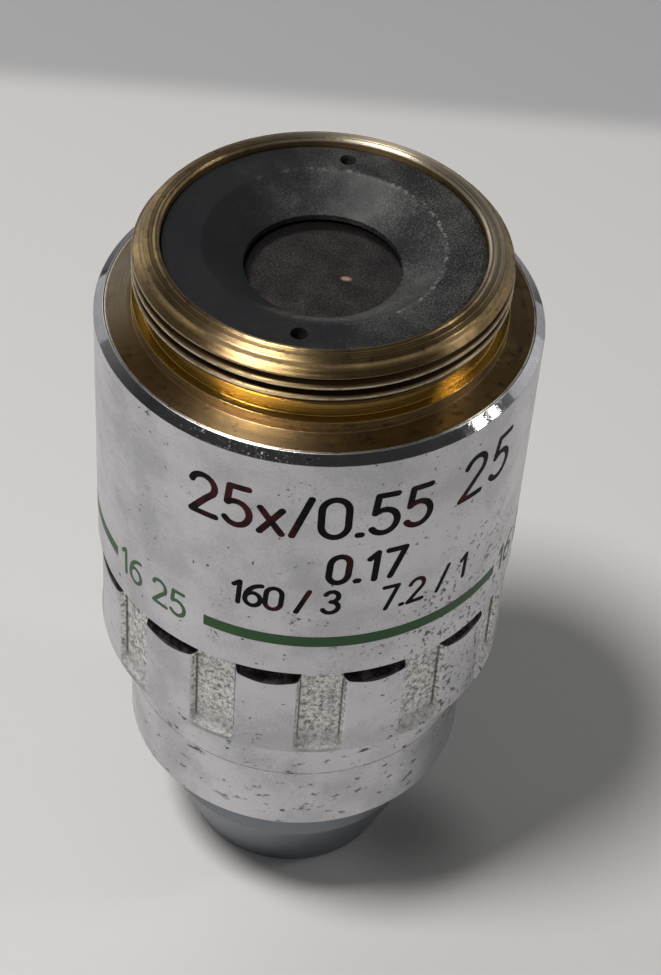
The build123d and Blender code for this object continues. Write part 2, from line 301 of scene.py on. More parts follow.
# Brass mount
# The threaded nose, the relief neck, the low collar and the shoulder, turned in one piece from brass and
# left bare, so that it has browned. It screws on round the barrel, and the sleeve sits on its flange.
mount_thread_radius = 10.16
mount_thread_pitch = 0.706
mount_thread_depth = 0.42
mount_thread_half_width = 0.33
mount_thread_flank_power = 1.5
mount_thread_turns = 3.3
mount_thread_fade = 40.0
mount_thread_start = -150.0
mount_thread_drop = 0.43
mount_thread_foot = 43.95
mount_thread_row = 0.025
mount_bore = 8.67
mount_top = 46.35
mount_shoulder = 41.9
mount_neck_radius = 9.7
mount_neck_taper = 0.46
mount_collar_radius = 10.18
mount_collar_top = 42.62
mount_shoulder_radius = 11.63
mount_flange_bottom = 39.9
mount_lip_radius = 9.05
mount_lip_step = 0.1
mount_face_radius = 9.64
mount_face_height = 46.14
mount_bevel_radius = 9.76
mount_bevel_top = 45.92
mount_bevel_bottom = 45.6
mount_skirt_radius = 11.2
mount_skirt_bottom = 26.0
mount_barrel_radius = 10.32
mount_step_height = 34.0
smooth_columns = 512
mount_south = (-0.1, -1.0, 0.0)
mount_north_east = (0.6, 0.8, 0.0)
mount_west = (-1.0, 0.25, 0.0)
mount_clean = (0.62, 0.435, 0.18, 1.0)
mount_brown = (0.31, 0.212, 0.11, 1.0)
mount_dark = (0.075, 0.053, 0.036, 1.0)
mount_dirt_and_shade = (0.035, 0.022, 0.014, 1.0)
mount_gold = (0.63, 0.42, 0.10, 1.0)
mount_worn_and_highlight = (0.86, 0.80, 0.66, 1.0)
mount_oxide = (0.17, 0.105, 0.045, 1.0)
mount_dust_sheen_colour = (0.92, 0.80, 0.60, 1.0)


def rounded_run(corners):
    """Part of an outline, past corners given as (radius, height, rounding), with close rows beside each. The
    first and the last give only the direction."""
    outline = []
    for previous, (radius, height, rounding), following in zip(corners, corners[1:], corners[2:]):
        corner = Vector((radius, height))
        before = Vector(previous[:2]) - corner
        after = Vector(following[:2]) - corner
        reach = min(rounding, 0.3 * before.length, 0.3 * after.length)
        start = corner + before.normalized() * reach
        end = corner + after.normalized() * reach
        outline.append(corner + before.normalized() * reach * 1.5)
        for share in np.linspace(0.0, 1.0, 6):
            outline.append(start * (1 - share) ** 2 + corner * 2 * share * (1 - share) + end * share ** 2)
        outline.append(corner + after.normalized() * reach * 1.5)
    return [(point.x, point.y) for point in outline]


def rounded(corners):
    """The whole of a closed outline."""
    return rounded_run([corners[-1]] + corners + [corners[0]])


def link_piece(name, mesh, finish):
    mesh.materials.append(finish.material)
    piece = bpy.data.objects.new(name, mesh)
    bpy.context.scene.collection.objects.link(piece)
    return piece


def turned_mesh(name, outline, azimuths, radius_at=None):
    """Closed body turned about the axis. radius_at may change the radius at each height and azimuth."""
    radii = np.array([radius for radius, height in outline])[:, None] + np.zeros(len(azimuths))
    heights = np.array([height for radius, height in outline])[:, None] + np.zeros(len(azimuths))
    turns = np.radians(np.array(azimuths))[None, :] + np.zeros(len(outline))[:, None]
    if radius_at:
        radii = radius_at(radii, heights, turns)
    places = np.stack([np.sin(turns) * radii, -np.cos(turns) * radii, heights], axis=-1) * MM
    row_count, column_count = len(outline), len(azimuths)
    rows, columns = np.meshgrid(np.arange(row_count), np.arange(column_count), indexing="ij")
    next_rows, next_columns = (rows + 1) % row_count, (columns + 1) % column_count
    corners = [rows * column_count + columns, rows * column_count + next_columns,
               next_rows * column_count + next_columns, next_rows * column_count + columns]
    faces = np.stack(corners, axis=-1).reshape(-1, 4)
    area = sum(outline[i - 1][0] * outline[i][1] - outline[i][0] * outline[i - 1][1]
               for i in range(row_count))
    if area < 0:
        faces = faces[:, ::-1]
    mesh = bpy.data.meshes.new(name)
    mesh.from_pydata(places.reshape(-1, 3).tolist(), [], faces.tolist())
    mesh.shade_smooth()
    return mesh


def even_azimuths(count):
    return [360.0 * number / count for number in range(count)]


def thread_radius_at(radii, heights, turns):
    """Cuts the right-handed thread below the rim. It fades out before it reaches the rim's bevel."""
    turned = (np.degrees(turns) - mount_thread_start) % 360.0
    cut = radii.copy()
    for turn in range(-1, math.ceil(mount_thread_turns)):
        angle = turned + 360.0 * turn
        groove = mount_thread_foot - mount_thread_drop + mount_thread_pitch * angle / 360.0
        fade = np.clip((mount_thread_turns * 360.0 - angle) / mount_thread_fade, 0, 1)
        away = np.abs(heights - groove) / mount_thread_half_width
        depth = mount_thread_depth * fade * np.clip(1 - away, 0, 1) ** mount_thread_flank_power
        cut = np.minimum(cut, mount_thread_radius - depth)
    above_neck = heights > (mount_collar_top + mount_thread_foot) / 2
    threaded = above_neck & (heights < mount_bevel_top) & (radii > mount_lip_radius)
    return np.where(threaded, cut, radii)


mount_rim = rounded_run([
    (mount_bore, mount_step_height),
    (mount_bore, mount_top - 0.14, 0.08),
    (mount_bore + 0.12, mount_top, 0.06),
    (mount_lip_radius - 0.12, mount_top, 0.05),
    (mount_lip_radius - 0.02, mount_top - mount_lip_step, 0.03),
    (mount_lip_radius + 0.04, mount_top - mount_lip_step + 0.02, 0.02),
    (mount_lip_radius + 0.27, mount_top - mount_lip_step, 0.01),
    (mount_lip_radius + 0.29, mount_top - mount_lip_step - 0.025, 0.01),
    (mount_face_radius, mount_face_height, 0.08),
    (mount_bevel_radius, mount_bevel_top, 0.05),
    (mount_thread_radius, mount_bevel_bottom),
])
mount_bevel = [(mount_bevel_radius + (mount_thread_radius - mount_bevel_radius) * share,
                mount_bevel_top + (mount_bevel_bottom - mount_bevel_top) * share)
               for share in np.linspace(0.2, 0.95, 14)]
mount_thread = [(mount_thread_radius, height)
                for height in np.arange(mount_bevel_bottom, mount_thread_foot + 0.04, -mount_thread_row)]
mount_foot = rounded_run([
    (mount_thread_radius, mount_bevel_bottom),
    (mount_thread_radius, mount_thread_foot, 0.02),
    (mount_neck_radius, mount_thread_foot - mount_neck_taper, 0.06),
    (mount_neck_radius, mount_collar_top, 0.05),
    (mount_collar_radius, mount_collar_top, 0.04),
    (mount_collar_radius, mount_shoulder, 0.04),
    (mount_shoulder_radius, mount_shoulder, 0.11),
    (mount_shoulder_radius, mount_flange_bottom, 0.05),
    (mount_skirt_radius, mount_flange_bottom, 0.02),
    (mount_skirt_radius, mount_skirt_bottom, 0.1),
    (mount_barrel_radius, mount_skirt_bottom, 0.1),
    (mount_barrel_radius, mount_step_height, 0.02),
    (mount_bore, mount_step_height, 0.02),
    (mount_bore, mount_top),
])

mount_finish = Finish("bare_brass", Metallic=1.0, Anisotropic=0.9, Anisotropic_Rotation=0.25)
mount_spot = mount_finish.place()
mount_height = mount_spot.height()
mount_reach = mount_spot.radius()
mount_marks = mount_spot.rings(scale=5.0, detail=5.0)
mount_patches = mount_spot.noise(scale=0.3, detail=4.0, roughness=0.6, distortion=0.6)
mount_grime = mount_finish.place((1.0, 1.0, 2.5)).noise(scale=1.6, detail=5.0, roughness=0.7)

# The brass itself: clean, browned in patches, and dark where grime stays
mount_browned = (mount_patches + mount_marks * 0.6).within(0.46, 0.86)
mount_darkened = (mount_grime + mount_marks * 0.3).within(0.66, 0.84)
mount_tone = mount_browned.mix(mount_clean, mount_brown)
mount_tone = (mount_darkened * 0.7).mix(mount_tone, mount_dark)

# The neck, which no hand reaches, is still yellow, and the thread's grooves are dark with dirt and painted
# shade
mount_neck = mount_height.between(mount_collar_top - 0.05, mount_collar_top,
                                  mount_thread_foot - 0.5, mount_thread_foot - 0.3)
mount_threaded = mount_height.between(mount_thread_foot - 0.4, mount_thread_foot - 0.2,
                                      mount_bevel_bottom - 0.05, mount_bevel_bottom)
mount_grooves = mount_threaded * mount_reach.within(mount_thread_radius - 0.04, mount_thread_radius - 0.14)
mount_tone = (mount_neck * 0.7).mix(mount_tone, mount_gold)
# Dirt and painted shade in the thread's grooves
mount_tone = mount_grooves.mix(mount_tone, mount_dirt_and_shade)

# The shoulder's edge and the thread's crests are rubbed bright, and carry a painted highlight
mount_edge = (mount_reach.within(mount_shoulder_radius - 0.10, mount_shoulder_radius - 0.04)
              * mount_height.within(mount_shoulder - 0.15, mount_shoulder - 0.10))
mount_crests = mount_threaded * mount_reach.within(mount_thread_radius - 0.05, mount_thread_radius - 0.01)
# Painted highlight as well as wear on the shoulder's edge and the thread's crests
mount_tone = (mount_edge * mount_grime.within(0.35, 0.5)).mix(mount_tone, mount_worn_and_highlight)
mount_tone = (mount_crests * mount_grime.within(0.30, 0.60) * 0.6).mix(mount_tone, mount_worn_and_highlight)

# The lip has a painted highlight on one side and is oxidised on the other, and dust with a painted sheen lies
# on the shoulder's west side
mount_lip_highlight = (mount_spot.towards(mount_north_east).within(1.0, 7.0)
                * mount_height.within(mount_face_height, mount_face_height + 0.05))
mount_oxidised = (mount_spot.towards(mount_south).within(2.0, 8.0)
                  * mount_reach.within(mount_bevel_radius + 0.04, mount_bevel_radius + 0.14)
                  * mount_height.within(mount_bevel_bottom - 0.7, mount_bevel_bottom - 0.5))
mount_dust_and_sheen = (mount_spot.towards(mount_west).within(7.0, 11.5)
               * mount_reach.within(mount_collar_radius + 0.02, mount_collar_radius + 0.32)
               * mount_height.within(mount_shoulder - 0.2, mount_shoulder - 0.1))
# Painted highlight on one side of the lip
mount_tone = (mount_lip_highlight * 0.4).mix(mount_tone, mount_worn_and_highlight)
mount_tone = (mount_oxidised * 0.55).mix(mount_tone, mount_oxide)
# Dust, and painted sheen, on the west of the shoulder
mount_tone = (mount_dust_and_sheen * (mount_grime * 0.6 + 0.3)).mix(mount_tone, mount_dust_sheen_colour)
mount_rough = mount_patches * 0.14 + mount_grime * 0.16 + 0.17
mount_finish.vary(Base_Color=mount_tone,
                  Roughness=mount_rough * (1.0 - mount_neck * 0.5) + mount_grooves * 0.3,
                  Normal=mount_marks.bump(distance=0.017))

mount_mesh = turned_mesh("brass_mount", mount_rim + mount_bevel + mount_thread + mount_foot,
                         even_azimuths(smooth_columns), thread_radius_at)
mount = link_piece("brass_mount", mount_mesh, mount_finish)
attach(mount, "root")
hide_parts("thread_mount")


# Black retaining ring
# Holds the rear lens in the mount's bore. It is turned from aluminium and painted matt black, with a funnel
# down to its aperture and two blind holes for a pin spanner. Dust has settled on it, thicker to the east, and
# the west side is painted darker as shade.
ring_radius = 8.65
ring_top = 46.0
ring_bottom = 44.2
ring_funnel_radius = 6.5
ring_aperture_radius = 4.25
ring_funnel_foot = 44.52
ring_flat_radius = 8.36
ring_edge_drop = 0.2
ring_hole_radius = 0.45
ring_hole_depth = 1.0
ring_hole_circle = 7.4
ring_hole_columns = 48
ring_sharp_angle = math.radians(40)
plain_columns = 256
ring_east = (0.9, 0.3, 0.0)
ring_south_east = (0.45, -0.9, 0.0)
ring_black = (0.004, 0.0045, 0.006, 1.0)
ring_grey = (0.075, 0.075, 0.071, 1.0)
ring_haze = (0.085, 0.085, 0.078, 1.0)
ring_pale = (0.17, 0.165, 0.15, 1.0)

ring_outline = rounded([
    (ring_aperture_radius, ring_bottom, 0.02),
    (ring_radius, ring_bottom, 0.05),
    (ring_radius, ring_top - ring_edge_drop, 0.05),
    (ring_flat_radius, ring_top, 0.05),
    (ring_funnel_radius, ring_top, 0.12),
    (ring_aperture_radius, ring_funnel_foot, 0.04),
])

ring_finish = Finish("matt_black", Specular_IOR_Level=0.25)
ring_spot = ring_finish.place()
ring_reach = ring_spot.radius()
ring_grain = ring_spot.noise(scale=9.0, detail=3.0, roughness=0.7)
ring_cloud = ring_spot.noise(scale=0.35, detail=3.0, roughness=0.6)
ring_fluff = ring_spot.noise(scale=6.5, detail=2.0, roughness=0.6)
ring_scrapes = ring_spot.noise(scale=2.2, detail=4.0, roughness=0.8)
ring_streaks = ring_spot.noise(scale=5.0, detail=4.0, roughness=0.7)
# Dust lies thicker to the east; the west side is also kept darker as painted shade
ring_dust_and_light_side = (ring_spot.towards(ring_east) + ring_cloud * 10.0).within(1.0, 11.0)
ring_dust = (ring_grain * 0.8 + ring_cloud * 0.35).within(0.46, 0.76)
ring_lint = ring_fluff.within(0.69, 0.75)
ring_worn = (ring_reach.between(ring_funnel_radius - 0.22, ring_funnel_radius - 0.05,
                                ring_funnel_radius + 0.02, ring_funnel_radius + 0.16)
             * ring_scrapes.within(0.5, 0.62) * ring_dust_and_light_side)
ring_swept = ring_spot.towards(ring_south_east)
ring_drift = ((ring_swept + ring_cloud * 1.5).within(3.6, 5.2)
              * (ring_reach + ring_cloud * 0.6).within(6.7, 5.2) * ring_streaks.within(0.34, 0.62))
ring_tone = (ring_dust * (ring_dust_and_light_side * 0.9 + 0.1)).mix(ring_black, ring_grey)
ring_tone = (ring_drift * 0.9).mix(ring_tone, ring_haze)
ring_tone = (ring_lint * (ring_dust_and_light_side * 0.6 + 0.15)).mix(ring_tone, ring_pale)
ring_tone = (ring_worn * 0.8).mix(ring_tone, ring_pale)
ring_finish.vary(Base_Color=ring_tone,
                 Roughness=ring_dust * 0.1 + 0.74 - ring_dust_and_light_side * 0.32,
                 Normal=ring_grain.bump(distance=0.005))

ring_mesh = turned_mesh("retaining_ring", ring_outline, even_azimuths(plain_columns))
ring = link_piece("retaining_ring", ring_mesh, ring_finish)
ring_punches = []
for ring_side in (-1, 1):
    bpy.ops.mesh.primitive_cylinder_add(vertices=ring_hole_columns, radius=ring_hole_radius * MM,
                                        depth=2 * ring_hole_depth * MM,
                                        location=(0, ring_side * ring_hole_circle * MM, ring_top * MM))
    ring_punch = bpy.context.object
    ring_cut = ring.modifiers.new("spanner_hole", "BOOLEAN")
    ring_cut.object = ring_punch
    ring_cut.solver = "EXACT"
    ring_punches.append(ring_punch)
ring_drilled = bpy.data.meshes.new_from_object(ring.evaluated_get(bpy.context.evaluated_depsgraph_get()))
ring.modifiers.clear()
ring.data = ring_drilled
ring_drilled.set_sharp_from_angle(angle=ring_sharp_angle)
for ring_punch in ring_punches:
    bpy.data.objects.remove(ring_punch)
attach(ring, "root")
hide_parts("rear_retaining_ring")


# Rear lens
# The glass behind the ring's aperture, ground and coated. It keeps its CAD shape. Dust and haze lie on it,
# a painted shadow of the ring darkens its rim on one side, and a warm glint of a lamp is painted on it.
lens_shade_centre = (0.35, -0.50, 0.0)
lens_shade_inner = 4.0
lens_shade_outer = 4.25
lens_glint_stretch = (1.0, 1.6, 0.2)
lens_glint_centre = (1.3, -0.35, 8.8)
lens_dark = (0.012, 0.011, 0.012, 1.0)
lens_grey = (0.058, 0.050, 0.046, 1.0)
lens_pale = (0.20, 0.18, 0.16, 1.0)
lens_shade = (0.004, 0.004, 0.005, 1.0)
lens_glint_colour = (0.34, 0.21, 0.16, 1.0)

lens_finish = Finish("dusty_glass", Specular_IOR_Level=0.6)
lens_spot = lens_finish.place()
lens_grain = lens_spot.noise(scale=9.0, detail=3.0, roughness=0.7)
lens_haze = lens_spot.noise(scale=0.8, detail=3.0, roughness=0.6)
lens_fluff = lens_spot.noise(scale=4.5, detail=3.0, roughness=0.7)
lens_dust = (lens_grain * 0.9 + lens_haze * 0.35).within(0.44, 1.02)
lens_lint = lens_fluff.within(0.66, 0.74)
lens_shade_away = lens_finish.place((1.0, 1.0, 0.0)).away(lens_shade_centre)
# Painted shadow of the ring's aperture on one side of the lens's rim
lens_rim_shadow = lens_shade_away.within(lens_shade_inner, lens_shade_outer)
lens_glint_away = lens_finish.place(lens_glint_stretch).away(lens_glint_centre)
# Painted glint: a lamp's warm reflection
lens_glint = (lens_glint_away + lens_grain * 0.5).within(0.62, 0.40)
lens_tone = lens_dust.mix(lens_dark, lens_grey)
lens_tone = (lens_lint * 0.45).mix(lens_tone, lens_pale)
lens_tone = (lens_rim_shadow * 0.9).mix(lens_tone, lens_shade)
lens_finish.vary(Base_Color=(lens_glint * 0.8).mix(lens_tone, lens_glint_colour),
                 Roughness=lens_dust * 0.4 + 0.12)
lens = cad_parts["rear_lens"]
lens.data.materials.clear()
lens.data.materials.append(lens_finish.material)


# Sleeve
# The outer sleeve, turned and milled from brass in one piece and plated with satin chrome: the polished top
# chamfer, the long wall with the numbers, the band of colour, and a grip of twelve lands between sandy
# grooves.
sleeve_radius = 12.19
sleeve_top = 41.9
sleeve_seat = 11.65
sleeve_chamfer_down = 0.43
sleeve_skirt_bore = 11.22
sleeve_bore_step = 25.8
grip_bottom = 18.24
grip_bottom_chamfer = 0.12
grip_top = 25.4
grip_land_radius = 12.05
grip_land_top = 24.4
grip_relief_radius = 11.45
grip_land_count = 12
grip_pitch = 360.0 / grip_land_count
groove_floor_radius = 11.55
groove_floor_half = 1.15
groove_flank_slope = 0.75
groove_low_end = 18.44
groove_high_end = 25.2
groove_ramp_foot = 18.9
groove_ramp_top = 19.5
groove_edge_round = 0.05
groove_ramp_round = 0.5
sand_radius = 12.04
sand_bottom = 18.7
sand_pale_top = 20.4
sand_pale_bottom = 19.0
cut_face_sag = 0.3
band_bottom = 27.72
band_top = 28.52
band_depth = 0.1
band_wall = 0.02
band_count = 3
band_start = -17.8
band_arc = 87.0
band_edge_angle = math.degrees(band_wall / sleeve_radius)
band_floor_heights = (28.3, 28.1, 27.9)
wall_below_band = 27.3
wall_row = 0.4
land_row = 0.5
ramp_row = 0.04
sleeve_worn_side = (0.94, -0.34, 0.0)
sleeve_west = (-1.0, 0.0, 0.0)
chrome_clean = (0.605, 0.60, 0.625, 1.0)
chrome_dull = (0.44, 0.44, 0.455, 1.0)
chrome_scuff = (0.62, 0.62, 0.64, 1.0)
chrome_line = (0.30, 0.30, 0.31, 1.0)
chrome_stain = (0.17, 0.165, 0.16, 1.0)
chrome_pit = (0.045, 0.042, 0.04, 1.0)
chrome_nick = (0.34, 0.30, 0.26, 1.0)
chrome_cloudy = (0.15, 0.15, 0.155, 1.0)
sand_dark = (0.19, 0.185, 0.175, 1.0)
sand_light = (0.86, 0.85, 0.83, 1.0)
sand_pale = (0.50, 0.49, 0.48, 1.0)
groove_dirt_and_shade = (0.05, 0.045, 0.045, 1.0)
cut_face_black = (0.014, 0.012, 0.013, 1.0)
cut_face_worn = (0.075, 0.058, 0.060, 1.0)


def soft_min(first, second, blend):
    share = np.clip(0.5 + 0.5 * (second - first) / blend, 0, 1)
    return second * (1 - share) + first * share - blend * share * (1 - share)


def soft_max(first, second, blend):
    return -soft_min(-first, -second, blend)


def band_share_at(heights, azimuths):
    """1 inside the engraved arcs for the band of colour, 0 outside."""
    inside_height = (np.clip((heights - band_bottom) / band_wall, 0, 1)
                     * np.clip((band_top - heights) / band_wall, 0, 1))
    along = (azimuths - band_start) % (360.0 / band_count)
    inside_arc = np.clip(along / band_edge_angle, 0, 1) * np.clip((band_arc - along) / band_edge_angle, 0, 1)
    return inside_height * inside_arc


def sleeve_radius_at(radii, heights, turns):
    """Mills the grip's grooves and engraves the band."""
    pitch = math.radians(grip_pitch)
    away = np.abs((turns % pitch) - pitch / 2)
    floor = groove_floor_radius / np.cos(away)
    flank = ((groove_flank_slope * groove_floor_radius - groove_floor_half)
             / np.maximum(groove_flank_slope * np.cos(away) - np.sin(away), 0.01))
    ramp = (groove_floor_radius + groove_ramp_foot - heights) / np.cos(away)
    groove = soft_max(soft_max(floor, flank, groove_edge_round), ramp, groove_ramp_round)
    milled = soft_min(radii, groove, groove_edge_round)
    grip = (heights > groove_low_end) & (heights < groove_high_end)
    return np.where(grip, milled, radii - band_depth * band_share_at(heights, np.degrees(turns)))


# Columns are close at the two edges of each groove's flank, and at the ends of the band's arcs
groove_steps = [0, 1.5, 3, 4.4, 5.0, 5.3, 5.45, 5.55, 5.65, 5.75, 5.85, 6.0, 6.2, 6.4, 6.6, 6.75, 6.85, 6.93,
                7.0, 7.07, 7.15, 7.25, 7.4, 7.8, 9, 10.5, 12, 13.5, grip_pitch / 2]
sleeve_azimuths = []
for land in range(grip_land_count):
    middle = (land + 0.5) * grip_pitch
    sleeve_azimuths += [middle + step for step in groove_steps] + [middle - step for step in groove_steps]
for number in range(band_count):
    for end in (0.0, band_arc):
        middle = band_start + end + number * 360.0 / band_count
        sleeve_azimuths += [middle + share * band_edge_angle for share in (-2, -1, -0.5, 0, 0.5, 1, 2)]
sleeve_azimuths = sorted({round(azimuth % 360.0, 5) for azimuth in sleeve_azimuths})

chamfer_drop = grip_land_radius - grip_relief_radius
sleeve_head = rounded_run([
    (sleeve_seat, mount_flange_bottom),
    (sleeve_seat, sleeve_top, 0.05),
    (sleeve_radius, sleeve_top - sleeve_chamfer_down, 0.03),
    (sleeve_radius, grip_top),
])
sleeve_wall = [(sleeve_radius, height) for height in np.concatenate([
    np.arange(sleeve_top - 0.5, band_top + wall_row / 2, -wall_row),
    [band_top - share * band_wall for share in (-4, -1, 0, 0.5, 1, 2.5)],
    band_floor_heights,
    [band_bottom + share * band_wall for share in (2.5, 1, 0.5, 0, -1, -6)],
    np.arange(wall_below_band, grip_top + wall_row / 2, -wall_row),
])]
sleeve_relief = rounded_run([
    (sleeve_radius, sleeve_top),
    (sleeve_radius, grip_top, 0.04),
    (grip_relief_radius, grip_top, 0.04),
    (grip_relief_radius, grip_land_top + chamfer_drop, 0.03),
    (grip_land_radius, grip_land_top),
])
sleeve_land_chamfer = [(grip_relief_radius + chamfer_drop * share, grip_land_top + chamfer_drop * (1 - share))
                       for share in np.linspace(0.08, 0.92, 16)]
sleeve_land_edge = rounded_run([
    (grip_relief_radius, grip_land_top + chamfer_drop),
    (grip_land_radius, grip_land_top, 0.04),
    (grip_land_radius, grip_bottom),
])
sleeve_land = [(grip_land_radius, height) for height in np.concatenate([
    np.arange(grip_land_top - 0.2, groove_ramp_top, -land_row),
    np.arange(groove_ramp_top - 0.1, groove_low_end + ramp_row / 2, -ramp_row),
])]
sleeve_foot = rounded_run([
    (grip_land_radius, grip_land_top),
    (grip_land_radius, grip_bottom + grip_bottom_chamfer, 0.03),
    (grip_land_radius - grip_bottom_chamfer, grip_bottom, 0.03),
    (mount_barrel_radius, grip_bottom, 0.05),
    (mount_barrel_radius, sleeve_bore_step, 0.02),
    (sleeve_skirt_bore, sleeve_bore_step, 0.02),
    (sleeve_skirt_bore, mount_flange_bottom, 0.02),
    (sleeve_seat, mount_flange_bottom, 0.02),
    (sleeve_seat, sleeve_top),
])
sleeve_outline = sleeve_head + sleeve_wall + sleeve_relief + sleeve_land_chamfer + sleeve_land_edge
sleeve_outline += sleeve_land + sleeve_foot


def satin_chrome(name, stretch, marred, fine, blur, worn_side):
    """Plated finish with specks, stains and scuffs, ready for the masks of the sleeve or the barrel. Marred
    is how much of the surface the clusters of specks take, more on the worn side, fine how small the specks
    are, and blur how soft their edges are."""
    finish = Finish(name, Metallic=1.0)
    spot = finish.place()
    side = spot.towards(worn_side)
    rubbed = side.within(9.0, 11.5) * spot.height().within(35.0, 28.0)

    # Plating, clouded and scuffed
    grain = spot.noise(scale=8.0, detail=3.0, roughness=0.7)
    cloud = spot.noise(scale=0.22, detail=3.0, roughness=0.6)
    scuffs = finish.place((2.2, 2.2, 0.12)).noise(scale=3.0, detail=3.0, roughness=0.6, distortion=0.3)
    lines = finish.place((0.10, 0.10, 1.0)).noise(scale=5.0, detail=3.0, roughness=0.6)
    sheltered = spot.noise(scale=0.5, detail=3.0, roughness=0.6)
    brushed = side.within(3.0, -8.0) * sheltered.within(0.40, 0.62)
    tone = (cloud + grain * 0.5).within(0.6, 0.95).mix(chrome_clean, chrome_dull)
    tone = (scuffs.within(0.6, 0.75) * 0.25).mix(tone, chrome_scuff)
    tone = (lines.within(0.48, 0.60) * brushed * 0.30).mix(tone, chrome_line)

    # Stains, and specks in clusters where the plating has pitted
    patches = spot.noise(scale=0.24, detail=3.0, roughness=0.6)
    clusters = (patches + rubbed * 0.26).within(0.64 - marred, 0.76 - marred)
    pits = finish.place(stretch).noise(scale=fine, detail=3.0, roughness=0.6)
    specks = (pits + rubbed * 0.03).within(0.59, 0.59 + blur) * clusters
    strays = spot.noise(scale=2.6, detail=2.0, roughness=0.5).within(0.715, 0.74)
    blotches = spot.noise(scale=1.7, detail=5.0, roughness=0.75, distortion=0.4)
    stain = blotches.within(0.58, 0.72) * (clusters * 0.6 + 0.2)
    pitted = specks + strays
    tone = (stain * 0.5).mix(tone, chrome_stain)
    tone = (pitted * 0.85).mix(tone, chrome_pit)
    return finish, spot, grain, pitted, tone


sleeve_finish, sleeve_spot, sleeve_grain, sleeve_pits, sleeve_tone = satin_chrome(
    "satin_chrome", stretch=(1.0, 1.0, 1.0), marred=0.09, fine=3.1, blur=0.07, worn_side=sleeve_worn_side)
sleeve_height = sleeve_spot.height()
sleeve_reach = sleeve_spot.radius()

# Sandy floors of the grooves, paler at the ramp, with dirt and painted shade along their corners
sleeve_in_grip = sleeve_height.within(grip_top + 0.01, grip_top - 0.01)
sleeve_ragged = sleeve_spot.noise(scale=2.4, detail=4.0, roughness=0.8)
sleeve_grains = sleeve_spot.noise(scale=3.4, detail=5.0, roughness=0.85)
sleeve_sandy = ((sleeve_reach + sleeve_ragged * 0.12).within(sand_radius + 0.06, sand_radius - 0.06)
                * sleeve_in_grip
                * (sleeve_height + sleeve_ragged * 0.6).within(sand_bottom, sand_bottom + 0.2))
sleeve_sand = sleeve_grains.within(0.36, 0.58).mix(sand_dark, sand_light)
sleeve_sand = (sleeve_height.within(sand_pale_top, sand_pale_bottom) * 0.5).mix(sleeve_sand, sand_pale)
sleeve_corner = (sleeve_reach.between(groove_floor_radius + 0.05, groove_floor_radius + 0.09,
                                      groove_floor_radius + 0.15, groove_floor_radius + 0.21)
                 * sleeve_height.between(groove_ramp_foot, groove_ramp_foot + 0.7,
                                         grip_land_top - 0.05, grip_land_top))
sleeve_tone = sleeve_sandy.mix(sleeve_tone, sleeve_sand)
# Dirt and painted shade along the grooves' corners
sleeve_tone = (sleeve_corner * 0.7).mix(sleeve_tone, groove_dirt_and_shade)

# The black face on top of each land, lowest in its middle: soot that the cutter left, and a painted dark
# reflection
sleeve_sagged = sleeve_height + sleeve_spot.lobes(grip_land_count) * cut_face_sag
sleeve_cut_face = (sleeve_sagged.within(grip_land_top - 0.02, grip_land_top + 0.04)
                   * sleeve_reach.within(groove_floor_radius + 0.05, groove_floor_radius + 0.13)
                   * sleeve_in_grip)
sleeve_smudge = sleeve_spot.noise(scale=1.6, detail=4.0, roughness=0.7)
sleeve_cut_face_tone = sleeve_smudge.within(0.42, 0.66).mix(cut_face_black, cut_face_worn)
# Soot and a painted dark reflection on the lands' top faces
sleeve_tone = sleeve_cut_face.mix(sleeve_tone, sleeve_cut_face_tone)

# The polished chamfer, nicked all round and cloudy on one side
chamfer_foot = sleeve_top - sleeve_chamfer_down
sleeve_polished = sleeve_height.between(chamfer_foot - 0.02, chamfer_foot + 0.02,
                                        sleeve_top - 0.07, sleeve_top - 0.03)
sleeve_dents = sleeve_finish.place((1.0, 1.0, 0.15)).noise(scale=3.4, detail=3.0, roughness=0.7)
sleeve_scratches = sleeve_spot.noise(scale=6.0, detail=4.0, roughness=0.75)
sleeve_nicks = sleeve_dents.within(0.62, 0.76) + sleeve_scratches.within(0.53, 0.72)
sleeve_cloudy = sleeve_polished * sleeve_spot.towards(sleeve_west).within(6.0, 10.5)
sleeve_tone = (sleeve_polished * sleeve_nicks * 0.5).mix(sleeve_tone, chrome_nick)
sleeve_tone = (sleeve_cloudy * 0.75).mix(sleeve_tone, chrome_cloudy)
sleeve_rough = sleeve_grain * 0.14 + 0.24
sleeve_rough = sleeve_rough * (1.0 - sleeve_polished) + sleeve_polished * (sleeve_nicks * 0.22 + 0.05)
sleeve_relief_height = ((sleeve_grain * 0.15 - sleeve_pits * 0.5) * (1.0 - sleeve_polished)
                        + sleeve_grains * sleeve_sandy * 2.0)
sleeve_finish.vary(Base_Color=sleeve_tone,
                   Roughness=sleeve_rough + sleeve_sandy * 0.3,
                   Normal=sleeve_relief_height.bump(distance=0.03))

sleeve_mesh = turned_mesh("sleeve", sleeve_outline, sleeve_azimuths, sleeve_radius_at)
sleeve = link_piece("sleeve", sleeve_mesh, sleeve_finish)
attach(sleeve, "root")
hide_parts("outer_sleeve")


# Band of colour
# Three engraved arcs round the sleeve, filled with green enamel that is baked on and then rubbed level.
enamel_radius = 12.185
enamel_foot = 12.08
enamel_step = 0.5
enamel_sharp_angle = math.radians(40)
enamel_dark = (0.010, 0.052, 0.009, 1.0)
enamel_light = (0.017, 0.092, 0.017, 1.0)
enamel_chip = (0.05, 0.045, 0.04, 1.0)


